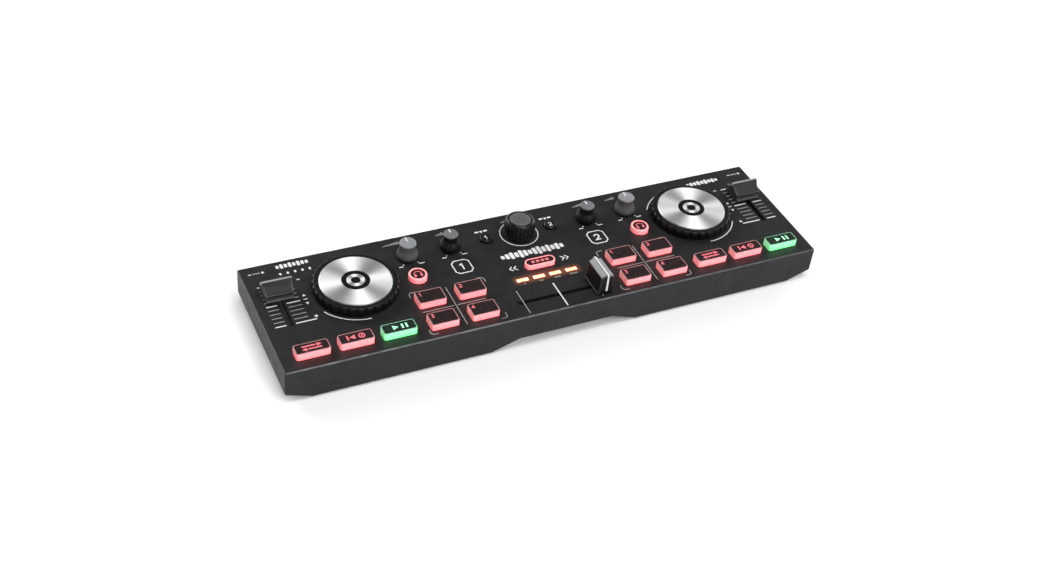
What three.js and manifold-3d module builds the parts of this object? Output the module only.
// Pocket two-deck DJ controller.
// Millimetres, +X to the player's right, +Y to the back, +Z up. The origin is on the table,
// under the middle of the casing.

import * as THREE from "three";
import { mergeVertices } from "three/addons/utils/BufferGeometryUtils.js";
import Module from "manifold-3d";

const wasm = await Module();
wasm.setup();

// ---------------------------------------------------------------- driving dimensions

// Casing
const CASE_WIDTH = 324;
const CASE_DEPTH = 87.4;
const CASE_HEIGHT = 20.3;
const FOOT_HEIGHT = 1.2;
const PANEL_Z = FOOT_HEIGHT + CASE_HEIGHT;
const CORNER_RADIUS = 1.1;
const EDGE_CHAMFER = 0.7;
const WALL = 2.2;
const PANEL_THICKNESS = 2.4;
const PANEL_UNDERSIDE = PANEL_Z - PANEL_THICKNESS;
const THROUGH_PANEL = [PANEL_UNDERSIDE - 1, PANEL_Z + 1];
const GAP = 0.3;

// Underside: flat runners left and right, sloping ends, and a raised arch in the middle
const SIDE_WALL_HEIGHT = 15;
const RUNNER_OUTER_X = 147;
const RUNNER_INNER_X = 44.5;
const ARCH_HALF_WIDTH = 28.5;
const ARCH_RISE = 5.5;
const BASE_THICKNESS = 2;

// Fasteners and feet
const SCREW_PLACES = [[-82.2, -38], [82.2, -38], [-125, 38], [125, 38]];
const BOSS_RADIUS = 2.9;
const SCREW_SHANK_RADIUS = 1.3;
const SCREW_HEAD_RADIUS = 2.5;
const SCREW_HEAD_HEIGHT = 1.1;
const SCREW_LENGTH = 11.5;
const FOOT_PLACES = [[-134, -32], [134, -32], [-134, 32], [134, 32]];
const FOOT_RADIUS = 5;

// Circuit board
const BOARD_WIDTH = 300;
const BOARD_DEPTH = 70;
const BOARD_THICKNESS = 1.6;
const BOARD_TOP = 11.5;
const SUPPORT_X = [-140, -60, 60, 140];
const SUPPORT_Y = [-26, 26];
const SUPPORT_RADIUS = 2.5;
const SWITCH_SIZE = 5;
const SWITCH_TOP = 15.4;

// Jog wheels
const JOG_X = 105.6;
const JOG_Y = 8.3;
const JOG_RADIUS = 24;
const JOG_PLATE_RADIUS = 20.1;
const JOG_LIFT = 0.5;
const JOG_TOP = 6;
const JOG_RIM_TOP = 5.6;
const JOG_RIM_CHAMFER = 0.9;
const JOG_RECESS = 1.8;
const JOG_GRIP_COUNT = 30;
const JOG_GRIP_DEPTH = 0.8;
const JOG_HUB_RADIUS = 5;
const SPINDLE_RADIUS = 2;

// Buttons: width, depth, height above the panel and corner radius
const BUTTON_BOTTOM = 16.9;
const BUTTON_LIP = 0.8;
const PAD = { width: 15.9, depth: 10.2, height: 3.7, corner: 1.3 };
const PAD_X = [46.9, 70.6];
const PAD_Y = [-13.9, -32.3];
const TRANSPORT = { width: 18.9, depth: 7.8, height: 4, corner: 1.5 };
const TRANSPORT_X = [95.8, 119.85, 143.9];
const TRANSPORT_Y = -32.4;
const MODE_BUTTON = { width: 18.4, depth: 6.4, height: 2.5, corner: 3.1 };
const MODE_BUTTON_Y = -4.4;
const PHONES_BUTTON = { width: 10.6, depth: 10.6, height: 2.7, corner: 5.25 };
const PHONES_BUTTON_PLACE = [70, 6.2];
const LOAD_BUTTON = { width: 7.4, depth: 7.4, height: 1.6, corner: 3.65 };
const LOAD_BUTTON_PLACE = [20.5, 25.3];

// Bank lights under the mode button
const LIGHT_X = [-15.15, -5.05, 5.05, 15.15];
const LIGHT_Y = -14.4;
const LIGHT_WIDTH = 7;
const LIGHT_DEPTH = 2.5;
const LIGHT_CORNER = 0.6;

// Rotary controls
const KNOB_Y = 24.4;
const LEVEL_KNOB_X = 69.3;
const MASTER_KNOB_X = 43.3;
const KNOB_HEIGHT = 11;
const KNOB_LIFT = 0.6;
const KNOB_BASE_RADIUS = 6.2;
const KNOB_SKIRT_HEIGHT = 4.6;
const LEVEL_KNOB_TOP_RADIUS = 4.8;
const MASTER_KNOB_TOP_RADIUS = 3.9;
const SHAFT_RADIUS = 2.6;
const SHAFT_HOLE_RADIUS = 3.4;
const SHAFT_END = 4.5;
const BROWSE_RADIUS = 9.1;
const BROWSE_CAP_RADIUS = 6.3;
const BROWSE_HEIGHT = 11;
const BROWSE_LIFT = 1.2;
const BROWSE_SOCKET = 6.5;
const CONTROL_BODY_TOP = PANEL_UNDERSIDE - 0.5;

// Faders
const FADER_BODY_BOTTOM = BOARD_TOP + GAP;
const FADER_BODY_WIDTH = 8.4;
const FADER_END_LENGTH = 4.5;
const FADER_SLOT_WIDTH = 2.4;
const LEVER_WIDTH = 2.8;
const LEVER_THICKNESS = 1.4;
const LEVER_REACH = 6;
const CAP_LIFT = 0.6;
const CAP_BOW = 0.7;
const CROSSFADER_Y = -32;
const CROSSFADER_SLOT_HALF = 25.7;
const CROSSFADER_REST_X = 23.9;
const CROSSFADER_CAP = { length: 18, width: 10.4, crown: 8, shoulder: 12.4, height: 14.1 };
const PITCH_X = 147.4;
const PITCH_CENTRE_Y = 8.15;
const PITCH_SLOT_HALF = 18.1;
const PITCH_REST_Y = 17;
const PITCH_CAP = { length: 17, width: 14, crown: 13.2, shoulder: 6.5, height: 10.5 };

// Sockets in the back wall
const SOCKET_Z = 14.3;
const USB_X = -20;
const USB_WIDTH = 8;
const USB_HEIGHT = 4;
const USB_DEPTH = 9;
const JACKS = { headphone_jack: 56, master_jack: 84 };
const JACK_NOSE_RADIUS = 2.9;
const JACK_BORE_RADIUS = 1.85;
const JACK_BODY_DEPTH = 11;

// ---------------------------------------------------------------- solids

// A closed three.js geometry as a solid that can be joined and cut.
function solid(geometry) {
  const bare = geometry.index ? geometry.toNonIndexed() : geometry.clone();
  bare.deleteAttribute("normal");
  bare.deleteAttribute("uv");
  const merged = mergeVertices(bare, 1e-4);
  const corners = merged.index.array;
  const triangles = [];
  for (let i = 0; i < corners.length; i += 3) {
    const [a, b, c] = [corners[i], corners[i + 1], corners[i + 2]];
    if (a !== b && b !== c && c !== a) triangles.push(a, b, c);
  }
  return new wasm.Manifold(new wasm.Mesh({
    numProp: 3,
    vertProperties: new Float32Array(merged.attributes.position.array),
    triVerts: new Uint32Array(triangles),
  }));
}

// A solid back as a flat-shaded three.js geometry.
function geometryOf(manifold) {
  const { vertProperties, triVerts } = manifold.getMesh();
  const indexed = new THREE.BufferGeometry();
  indexed.setAttribute("position", new THREE.BufferAttribute(vertProperties, 3));
  indexed.setIndex(new THREE.BufferAttribute(triVerts, 1));
  const geometry = indexed.toNonIndexed();
  geometry.computeVertexNormals();
  return geometry;
}

// A box given by its centre in X and Y and its lowest and highest Z.
function box(width, depth, z0, z1, x = 0, y = 0) {
  const geometry = new THREE.BoxGeometry(width, depth, z1 - z0);
  return solid(geometry.translate(x, y, (z0 + z1) / 2));
}

// An upright cylinder.
function post(radius, z0, z1, x = 0, y = 0, sides = 20) {
  const geometry = new THREE.CylinderGeometry(radius, radius, z1 - z0, sides);
  return solid(geometry.rotateX(Math.PI / 2).translate(x, y, (z0 + z1) / 2));
}

// A cylinder lying along Y.
function bolt(radius, y0, y1, x, z, sides = 16) {
  const geometry = new THREE.CylinderGeometry(radius, radius, y1 - y0, sides);
  return solid(geometry.translate(x, (y0 + y1) / 2, z));
}

function roundedRectangle(width, depth, radius) {
  const [x, y] = [width / 2 - radius, depth / 2 - radius];
  const shape = new THREE.Shape();
  shape.absarc(x, y, radius, 0, Math.PI / 2);
  shape.absarc(-x, y, radius, Math.PI / 2, Math.PI);
  shape.absarc(-x, -y, radius, Math.PI, Math.PI * 1.5);
  shape.absarc(x, -y, radius, Math.PI * 1.5, Math.PI * 2);
  return shape;
}

// A shape drawn in X and Y, raised from z0 to z1, with chamfered rims if asked for.
function prism(shape, z0, z1, { chamfer = 0, curveSegments = 3 } = {}) {
  const geometry = new THREE.ExtrudeGeometry(shape, {
    depth: z1 - z0 - 2 * chamfer,
    curveSegments,
    bevelEnabled: chamfer > 0,
    bevelThickness: chamfer,
    bevelSize: chamfer,
    bevelOffset: -chamfer,
    bevelSegments: 1,
  });
  return solid(geometry.translate(0, 0, z0 + chamfer));
}

// A polygon of [x, z] points, extended along Y.
function slab(points, depth) {
  const shape = new THREE.Shape(points.map(([x, z]) => new THREE.Vector2(x, z)));
  const geometry = new THREE.ExtrudeGeometry(shape, { depth, bevelEnabled: false });
  return solid(geometry.translate(0, 0, -depth / 2).rotateX(Math.PI / 2));
}

// A polygon of [radius, z] points turned about Z. It starts and ends on the axis.
function turned(points, sides = 24) {
  const profile = points.map(([radius, z]) => new THREE.Vector2(radius, z));
  return solid(new THREE.LatheGeometry(profile, sides).rotateX(Math.PI / 2));
}

// A polyline of [x, z] points joined to its mirror image across the middle.
const mirrored = (points) => points.concat(points.map(([x, z]) => [-x, z]).reverse());

// ---------------------------------------------------------------- materials

const FINISHES = {
  casing: [0x2b2b2e, 0.62, 0],
  base: [0x1d1d1f, 0.7, 0],
  rubber: [0x161616, 0.9, 0],
  board: [0x174a2c, 0.6, 0],
  steel: [0xb4b6ba, 0.35, 1],
  socket: [0x121212, 0.4, 0],
  jog: [0x151516, 0.55, 0],
  aluminium: [0xd8d9dc, 0.28, 1],
  red: [0xff6a74, 0.35, 0],
  green: [0x55f0a4, 0.35, 0],
  amber: [0xffb070, 0.35, 0],
  black: [0x141415, 0.45, 0],
  grey: [0x77787a, 0.5, 0],
};

const group = new THREE.Group();

// Names a solid, gives it its finish and places it.
function add(name, manifold, finish, x = 0, y = 0, z = 0) {
  const [color, roughness, metalness] = FINISHES[finish];
  const material = new THREE.MeshStandardMaterial({ color, roughness, metalness });
  const mesh = new THREE.Mesh(geometryOf(manifold), material);
  mesh.name = name;
  mesh.position.set(x, y, z);
  group.add(mesh);
}

// ---------------------------------------------------------------- layout of the two decks

const buttons = [];
for (const [deck, side] of [[1, -1], [2, 1]]) {
  const prefix = `deck${deck}`;
  const outward = side > 0 ? [0, 1] : [1, 0];
  PAD_Y.forEach((y, row) => {
    outward.forEach((place, column) => {
      const name = `${prefix}_pad_${row * 2 + column + 1}`;
      buttons.push({ name, size: PAD, finish: "red", x: side * PAD_X[place], y });
    });
  });
  ["sync", "cue", "play"].forEach((role, order) => {
    const place = side > 0 ? order : 2 - order;
    const finish = role === "play" ? "green" : "red";
    const x = side * TRANSPORT_X[place];
    buttons.push({ name: `${prefix}_${role}_button`, size: TRANSPORT, finish, x, y: TRANSPORT_Y });
  });
  const [phonesX, phonesY] = PHONES_BUTTON_PLACE;
  const [loadX, loadY] = LOAD_BUTTON_PLACE;
  buttons.push(
    { name: `${prefix}_phones_button`, size: PHONES_BUTTON, finish: "red", x: side * phonesX, y: phonesY },
    { name: `${prefix}_load_button`, size: LOAD_BUTTON, finish: "black", x: side * loadX, y: loadY },
  );
}
buttons.push({ name: "pad_mode_button", size: MODE_BUTTON, finish: "red", x: 0, y: MODE_BUTTON_Y });

const knobs = [
  { name: "deck1_level", x: -LEVEL_KNOB_X, topRadius: LEVEL_KNOB_TOP_RADIUS, finish: "grey" },
  { name: "master_level", x: -MASTER_KNOB_X, topRadius: MASTER_KNOB_TOP_RADIUS, finish: "black" },
  { name: "phones_level", x: MASTER_KNOB_X, topRadius: MASTER_KNOB_TOP_RADIUS, finish: "black" },
  { name: "deck2_level", x: LEVEL_KNOB_X, topRadius: LEVEL_KNOB_TOP_RADIUS, finish: "grey" },
];

// ---------------------------------------------------------------- casing

// Height of the casing's underside at a distance x from the middle.
const runnerSlope = (CASE_HEIGHT - SIDE_WALL_HEIGHT) / (CASE_WIDTH / 2 - RUNNER_OUTER_X);
const undersideAt = (x) => FOOT_HEIGHT + Math.max(0, x - RUNNER_OUTER_X) * runnerSlope;

function undersidePoints(endX, lift) {
  return [
    [endX, undersideAt(endX) + lift],
    [RUNNER_OUTER_X, FOOT_HEIGHT + lift],
    [RUNNER_INNER_X, FOOT_HEIGHT + lift],
    [ARCH_HALF_WIDTH, FOOT_HEIGHT + ARCH_RISE + lift],
  ];
}

function topHousing() {
  const plan = roundedRectangle(CASE_WIDTH, CASE_DEPTH, CORNER_RADIUS);
  const front = slab([
    [CASE_WIDTH / 2, PANEL_Z],
    ...mirrored(undersidePoints(CASE_WIDTH / 2, 0)),
    [-CASE_WIDTH / 2, PANEL_Z],
  ], CASE_DEPTH);
  const outer = prism(plan, -5, PANEL_Z, { chamfer: EDGE_CHAMFER }).intersect(front);
  let shell = outer.subtract(box(CASE_WIDTH - 2 * WALL, CASE_DEPTH - 2 * WALL, -5, PANEL_UNDERSIDE));

  for (const { size, x, y } of buttons) {
    const hole = roundedRectangle(size.width + 2 * GAP, size.depth + 2 * GAP, size.corner + GAP);
    const curveSegments = size.corner > 3 ? 5 : 2;
    shell = shell.subtract(prism(hole, ...THROUGH_PANEL, { curveSegments }).translate([x, y, 0]));
  }
  for (const side of [-1, 1]) {
    shell = shell.subtract(post(JOG_HUB_RADIUS + 1, ...THROUGH_PANEL, side * JOG_X, JOG_Y));
    const slot = box(FADER_SLOT_WIDTH, 2 * PITCH_SLOT_HALF, ...THROUGH_PANEL, side * PITCH_X, PITCH_CENTRE_Y);
    shell = shell.subtract(slot);
  }
  for (const x of [0, ...knobs.map((knob) => knob.x)]) {
    shell = shell.subtract(post(SHAFT_HOLE_RADIUS, ...THROUGH_PANEL, x, KNOB_Y, 16));
  }
  shell = shell.subtract(box(2 * CROSSFADER_SLOT_HALF, FADER_SLOT_WIDTH, ...THROUGH_PANEL, 0, CROSSFADER_Y));
  const window = roundedRectangle(LIGHT_WIDTH + 2 * GAP, LIGHT_DEPTH + 2 * GAP, LIGHT_CORNER + GAP);
  for (const x of LIGHT_X) {
    const cut = prism(window, ...THROUGH_PANEL, { curveSegments: 2 });
    shell = shell.subtract(cut.translate([x, LIGHT_Y, 0]));
  }

  const backWall = CASE_DEPTH / 2;
  for (const x of Object.values(JACKS)) {
    shell = shell.subtract(bolt(JACK_NOSE_RADIUS + GAP, backWall - 4, backWall + 1, x, SOCKET_Z));
  }
  const [usbLow, usbHigh] = [SOCKET_Z - USB_HEIGHT / 2 - GAP, SOCKET_Z + USB_HEIGHT / 2 + GAP];
  shell = shell.subtract(box(USB_WIDTH + 2 * GAP, 6, usbLow, usbHigh, USB_X, backWall));

  const bossBottom = FOOT_HEIGHT + BASE_THICKNESS + GAP;
  for (const [x, y] of SCREW_PLACES) {
    shell = shell.add(post(BOSS_RADIUS, bossBottom, PANEL_UNDERSIDE + 0.5, x, y, 16));
    shell = shell.subtract(post(SCREW_SHANK_RADIUS + GAP, bossBottom - 1, 14, x, y, 12));
  }
  return shell;
}

function bottomPlate() {
  const endX = CASE_WIDTH / 2 - WALL - 2 * GAP;
  const lower = undersidePoints(endX, 0);
  const upper = undersidePoints(endX, BASE_THICKNESS);
  const outline = mirrored(lower).concat(mirrored(upper).reverse());
  let plate = slab(outline, CASE_DEPTH - 2 * WALL - 2 * GAP);
  for (const [x, y] of SCREW_PLACES) {
    plate = plate.subtract(post(SCREW_SHANK_RADIUS + GAP, 0, 5, x, y, 12));
    plate = plate.subtract(post(SCREW_HEAD_RADIUS + GAP, 0, FOOT_HEIGHT + SCREW_HEAD_HEIGHT + GAP, x, y, 16));
  }
  const supportTop = BOARD_TOP - BOARD_THICKNESS - GAP;
  for (const x of SUPPORT_X) {
    for (const y of SUPPORT_Y) {
      plate = plate.add(post(SUPPORT_RADIUS, FOOT_HEIGHT + 1, supportTop, x, y, 10));
    }
  }
  return plate;
}

add("top_housing", topHousing(), "casing");
add("bottom_plate", bottomPlate(), "base");

SCREW_PLACES.forEach(([x, y], index) => {
  const screw = post(SCREW_HEAD_RADIUS, 0, SCREW_HEAD_HEIGHT, 0, 0, 16)
    .add(post(SCREW_SHANK_RADIUS, 0, SCREW_LENGTH, 0, 0, 12));
  const drive = box(3, 0.7, -1, 0.6).add(box(0.7, 3, -1, 0.6));
  add(`case_screw_${index + 1}`, screw.subtract(drive), "steel", x, y, FOOT_HEIGHT);
});

FOOT_PLACES.forEach(([x, y], index) => {
  const foot = turned([
    [0, 0],
    [FOOT_RADIUS - 0.3, 0],
    [FOOT_RADIUS, 0.3],
    [FOOT_RADIUS, FOOT_HEIGHT],
    [0, FOOT_HEIGHT],
  ], 20);
  add(`foot_${index + 1}`, foot, "rubber", x, y);
});

// ---------------------------------------------------------------- circuit board and sockets

let board = box(BOARD_WIDTH, BOARD_DEPTH, BOARD_TOP - BOARD_THICKNESS, BOARD_TOP);
for (const { x, y } of buttons) {
  board = board.add(box(SWITCH_SIZE, SWITCH_SIZE, BOARD_TOP - 0.5, SWITCH_TOP, x, y));
}
add("main_board", board, "board");

const backFace = CASE_DEPTH / 2;

const usbHalf = USB_HEIGHT / 2;
const usbCavity = box(USB_WIDTH - 1, USB_DEPTH, 0.5 - usbHalf, usbHalf - 0.5, 0, 1.5 - USB_DEPTH / 2);
const usbTongue = box(USB_WIDTH - 3, USB_DEPTH - 3, -0.4, 0.4, 0, -USB_DEPTH / 2 - 0.5);
const usbShell = box(USB_WIDTH, USB_DEPTH, -usbHalf, usbHalf, 0, -USB_DEPTH / 2);
const usb = usbShell.subtract(usbCavity).add(usbTongue);
add("usb_socket", usb, "steel", USB_X, backFace - GAP, SOCKET_Z);

for (const [name, x] of Object.entries(JACKS)) {
  const bodyBack = -WALL - GAP;
  let jack = box(6.6, JACK_BODY_DEPTH, BOARD_TOP + GAP - SOCKET_Z, 2.7, 0, bodyBack - JACK_BODY_DEPTH / 2);
  jack = jack.add(bolt(JACK_NOSE_RADIUS - 0.2, bodyBack - 1, -GAP, 0, 0));
  jack = jack.subtract(bolt(JACK_BORE_RADIUS, bodyBack - 8, 1, 0, 0));
  add(name, jack, "socket", x, backFace, SOCKET_Z);
}

// ---------------------------------------------------------------- jog wheels

function gripOutline() {
  const shape = new THREE.Shape();
  const step = (2 * Math.PI) / JOG_GRIP_COUNT;
  const corners = [[0.08, 0], [0.62, 0], [0.85, 1]];
  for (let i = 0; i < JOG_GRIP_COUNT; i += 1) {
    corners.forEach(([part, depth], corner) => {
      const angle = (i + part) * step;
      const radius = JOG_RADIUS - depth * JOG_GRIP_DEPTH;
      const [x, y] = [radius * Math.cos(angle), radius * Math.sin(angle)];
      if (i === 0 && corner === 0) shape.moveTo(x, y);
      else shape.lineTo(x, y);
    });
  }
  return shape;
}

function jogWheel() {
  const floorTop = JOG_TOP - JOG_RECESS;
  const floorBottom = floorTop - 1.8;
  let wheel = prism(gripOutline(), JOG_LIFT, JOG_RIM_TOP, { chamfer: JOG_RIM_CHAMFER });
  wheel = wheel.subtract(post(JOG_PLATE_RADIUS + 2 * GAP, floorTop, JOG_RIM_TOP + 1, 0, 0, 48));
  wheel = wheel.subtract(post(JOG_RADIUS - 3, JOG_LIFT - 1, floorBottom, 0, 0, 24));
  wheel = wheel.add(post(JOG_HUB_RADIUS, -5, floorTop - 0.6, 0, 0, 20));
  return wheel.subtract(post(SPINDLE_RADIUS + GAP, -6, floorTop - 1.1, 0, 0, 16));
}

for (const [deck, side] of [[1, -1], [2, 1]]) {
  const place = [side * JOG_X, JOG_Y];
  add(`deck${deck}_jog_wheel`, jogWheel(), "jog", ...place, PANEL_Z);
  const plate = turned([
    [0, JOG_TOP - JOG_RECESS + GAP],
    [JOG_PLATE_RADIUS, JOG_TOP - JOG_RECESS + GAP],
    [JOG_PLATE_RADIUS, JOG_TOP - 0.3],
    [JOG_PLATE_RADIUS - 0.3, JOG_TOP],
    [0, JOG_TOP],
  ], 48);
  add(`deck${deck}_jog_plate`, plate, "aluminium", ...place, PANEL_Z);
  const spindle = post(6, BOARD_TOP + GAP, BOARD_TOP + 2, 0, 0, 16)
    .add(post(SPINDLE_RADIUS, BOARD_TOP + 1, PANEL_Z + JOG_TOP - 3.3, 0, 0, 12));
  add(`deck${deck}_jog_spindle`, spindle, "steel", ...place);
}

// ---------------------------------------------------------------- buttons

for (const { name, size, finish, x, y } of buttons) {
  const curveSegments = size.corner > 3 ? 5 : 2;
  const cap = roundedRectangle(size.width, size.depth, size.corner);
  const lip = roundedRectangle(size.width + 2 * BUTTON_LIP, size.depth + 2 * BUTTON_LIP, size.corner);
  const button = prism(cap, BUTTON_BOTTOM, PANEL_Z + size.height, { chamfer: 0.4, curveSegments })
    .add(prism(lip, BUTTON_BOTTOM, PANEL_UNDERSIDE - GAP, { curveSegments: 2 }));
  add(name, button, finish, x, y);
}

let lightPipe = box(38, 4, PANEL_UNDERSIDE - 2.2, PANEL_UNDERSIDE - 0.4);
for (const x of LIGHT_X) {
  const window = roundedRectangle(LIGHT_WIDTH, LIGHT_DEPTH, LIGHT_CORNER);
  const lens = prism(window, PANEL_UNDERSIDE - 1, PANEL_Z + 0.1, { curveSegments: 2 });
  lightPipe = lightPipe.add(lens.translate([x, 0, 0]));
}
add("bank_light_pipe", lightPipe, "amber", 0, LIGHT_Y);

// ---------------------------------------------------------------- knobs

for (const { name, x, topRadius, finish } of knobs) {
  const knob = turned([
    [0, -SHAFT_END],
    [SHAFT_RADIUS, -SHAFT_END],
    [SHAFT_RADIUS, KNOB_LIFT],
    [KNOB_BASE_RADIUS, KNOB_LIFT],
    [KNOB_BASE_RADIUS, KNOB_LIFT + 1],
    [topRadius + 0.9, KNOB_SKIRT_HEIGHT],
    [topRadius + 0.3, KNOB_HEIGHT - 0.5],
    [topRadius, KNOB_HEIGHT],
    [0, KNOB_HEIGHT],
  ]);
  add(`${name}_knob`, knob, finish, x, KNOB_Y, PANEL_Z);
  const pot = box(9.5, 10.5, BOARD_TOP + GAP, CONTROL_BODY_TOP)
    .subtract(post(SHAFT_RADIUS + GAP, PANEL_Z - SHAFT_END - GAP, PANEL_Z, 0, 0, 16));
  add(`${name}_pot`, pot, "steel", x, KNOB_Y);
}

// The browse control: the knob turns on a shaft that clicks down into the encoder.
const browseKnob = turned([
  [0, BROWSE_LIFT + BROWSE_SOCKET],
  [SHAFT_RADIUS + GAP, BROWSE_LIFT + BROWSE_SOCKET],
  [SHAFT_RADIUS + GAP, BROWSE_LIFT],
  [BROWSE_RADIUS, BROWSE_LIFT],
  [BROWSE_RADIUS, BROWSE_HEIGHT - 2.2],
  [BROWSE_RADIUS - 1.2, BROWSE_HEIGHT - 0.9],
  [BROWSE_CAP_RADIUS, BROWSE_HEIGHT - 0.5],
  [BROWSE_CAP_RADIUS - 0.4, BROWSE_HEIGHT],
  [0, BROWSE_HEIGHT],
], 32);
add("browse_knob", browseKnob, "black", 0, KNOB_Y, PANEL_Z);
const browseShaft = post(SHAFT_RADIUS, -SHAFT_END, BROWSE_LIFT + BROWSE_SOCKET - GAP);
add("browse_shaft", browseShaft, "steel", 0, KNOB_Y, PANEL_Z);
const encoder = box(12, 12.5, BOARD_TOP + GAP, CONTROL_BODY_TOP)
  .subtract(post(SHAFT_RADIUS + GAP, PANEL_Z - SHAFT_END - 1.9, PANEL_Z, 0, 0, 16));
add("browse_encoder", encoder, "steel", 0, KNOB_Y);

// ---------------------------------------------------------------- faders

// A fader that travels along Y, at the origin: a body with a channel and a lever.
function faderBody(slotHalf) {
  const length = 2 * (slotHalf + FADER_END_LENGTH);
  return box(FADER_BODY_WIDTH, length, FADER_BODY_BOTTOM, CONTROL_BODY_TOP)
    .subtract(box(FADER_SLOT_WIDTH, 2 * slotHalf, FADER_BODY_BOTTOM + 1.5, CONTROL_BODY_TOP + 1));
}

const lever = box(LEVER_THICKNESS, LEVER_WIDTH, FADER_BODY_BOTTOM + 2, PANEL_Z + LEVER_REACH);

// The cap is a block with a roof: its two long faces meet in a ridge across the travel, and its
// ends are creased outward in the middle.
function faderCap({ length, width, crown, shoulder, height }) {
  const side = [[width / 2, CAP_LIFT], [crown / 2, shoulder]];
  const otherSide = side.map(([x, z]) => [-x, z]).reverse();
  const along = slab([...side, [0, height], ...otherSide], length + 2);
  const corners = [[1, -1], [1, 1], [0, 1], [-1, 1], [-1, -1], [0, -1]];
  const plan = new THREE.Shape(corners.map(([across, end]) => {
    const reach = length / 2 - Math.abs(across) * CAP_BOW;
    return new THREE.Vector2(across * width, end * reach);
  }));
  const socket = box(LEVER_WIDTH + 2 * GAP, LEVER_THICKNESS + 2 * GAP, 0, LEVER_REACH + GAP);
  const body = along.intersect(prism(plan, 0, height + 1)).subtract(socket);
  return body.rotate([0, 0, 90]);
}

for (const [deck, side] of [[1, -1], [2, 1]]) {
  const x = side * PITCH_X;
  add(`deck${deck}_pitch_cap`, faderCap(PITCH_CAP), "black", x, PITCH_REST_Y, PANEL_Z);
  add(`deck${deck}_pitch_lever`, lever, "steel", x, PITCH_REST_Y);
  add(`deck${deck}_pitch_fader`, faderBody(PITCH_SLOT_HALF), "steel", x, PITCH_CENTRE_Y);
}

const quarterTurn = [0, 0, 90];
add("crossfader_cap", faderCap(CROSSFADER_CAP).rotate(quarterTurn), "black",
  CROSSFADER_REST_X, CROSSFADER_Y, PANEL_Z);
add("crossfader_lever", lever.rotate(quarterTurn), "steel", CROSSFADER_REST_X, CROSSFADER_Y);
add("crossfader_fader", faderBody(CROSSFADER_SLOT_HALF).rotate(quarterTurn), "steel", 0, CROSSFADER_Y);

export default group;
